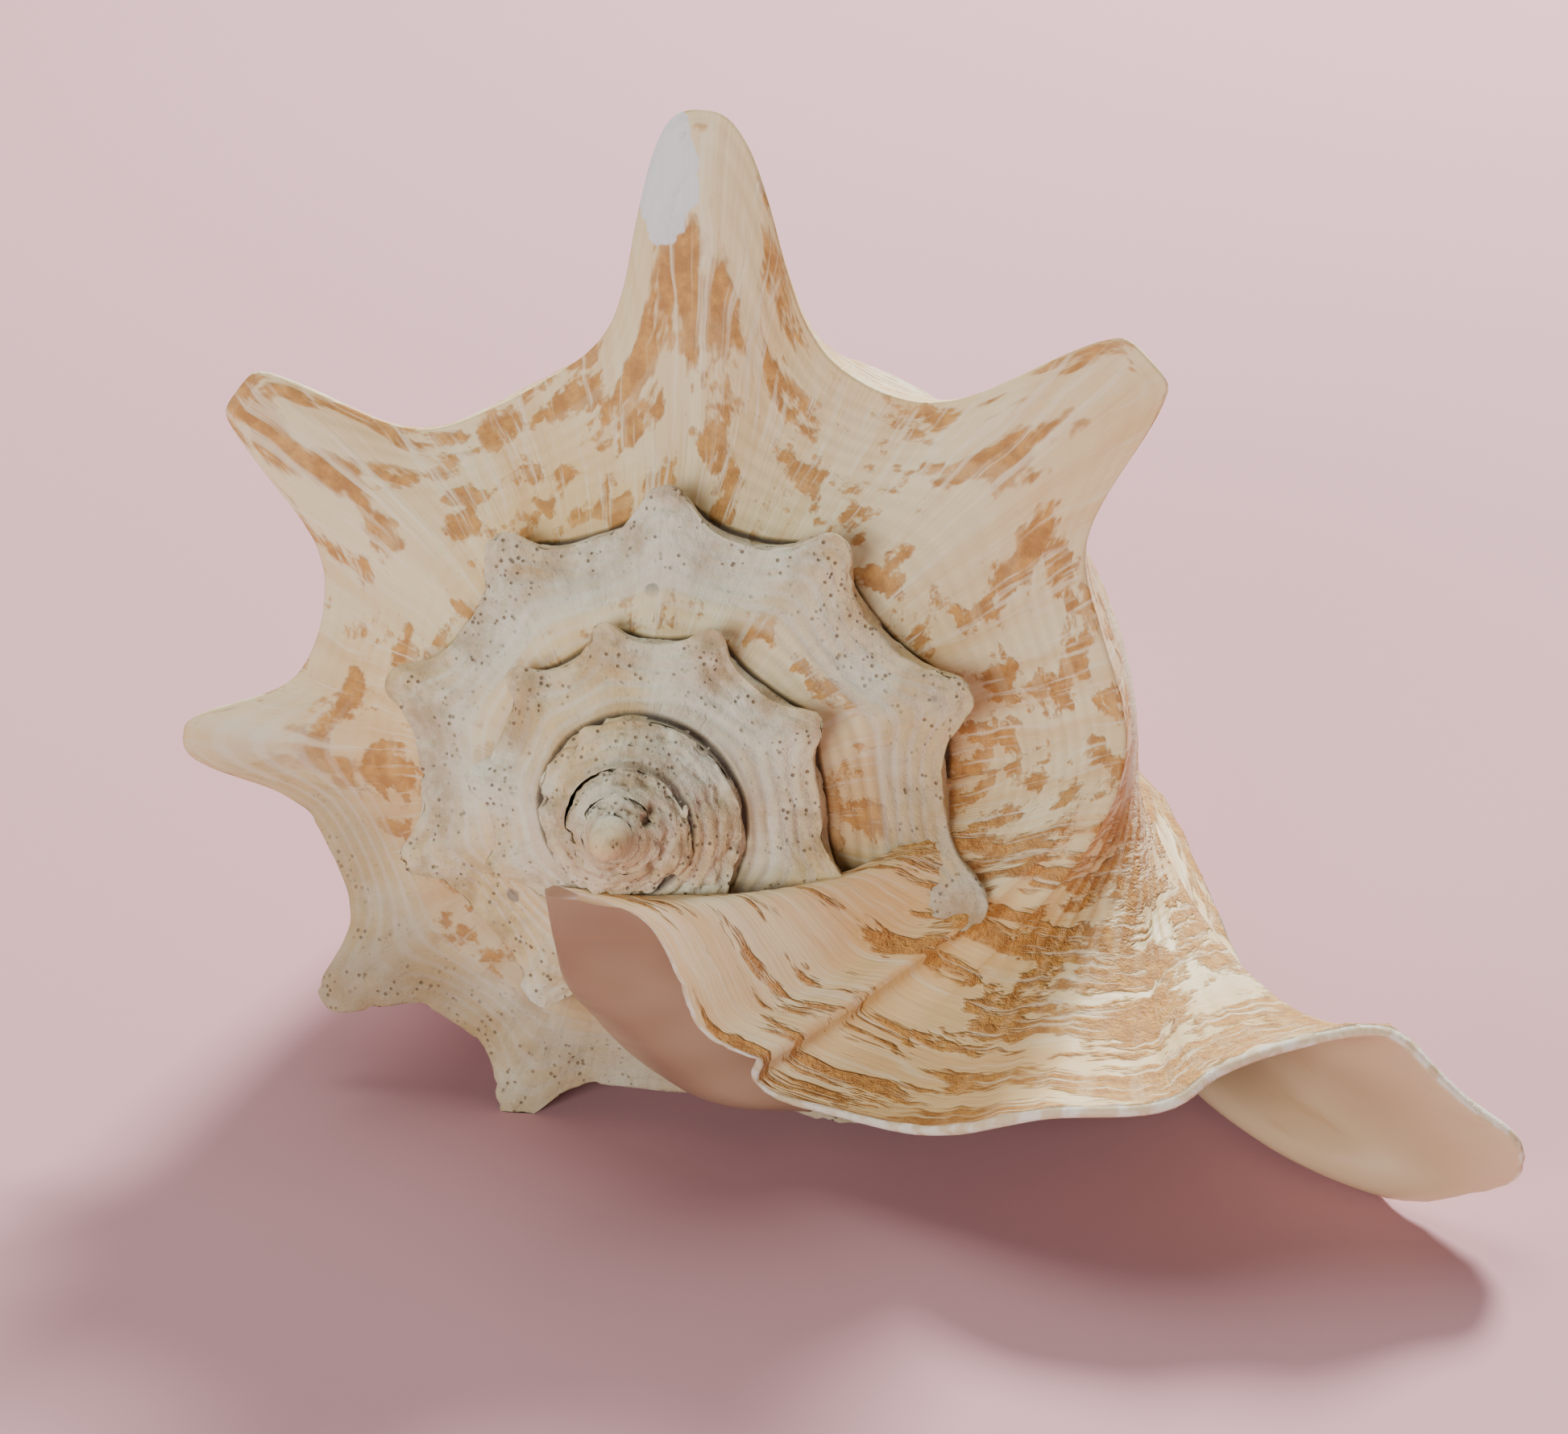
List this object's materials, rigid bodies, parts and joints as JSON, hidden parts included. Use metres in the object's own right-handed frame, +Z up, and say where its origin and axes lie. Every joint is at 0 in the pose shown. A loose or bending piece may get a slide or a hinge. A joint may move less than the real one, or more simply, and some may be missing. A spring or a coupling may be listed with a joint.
{
  "type": "large conch shell",
  "caption": "Large spined conch shell resting on its opening, with a stepped spiral spire, a flared wing-like lip and a tapering front canal.",
  "frame": {"origin": "on the floor, under the middle of the shell's bounding box", "axes": "+Y from the apex towards the siphonal canal, +X towards the tip of the flared lip, +Z up, with the shell resting on its opening"},
  "size_m": [0.2031, 0.2161, 0.1494],
  "materials": {
    "shell_surface": "weathered chalky shell, cream white with tan patches, satin inside the lip"
  },
  "bodies": {
    "root": {"conch_shell": "shell_surface"}
  },
  "joints": []
}
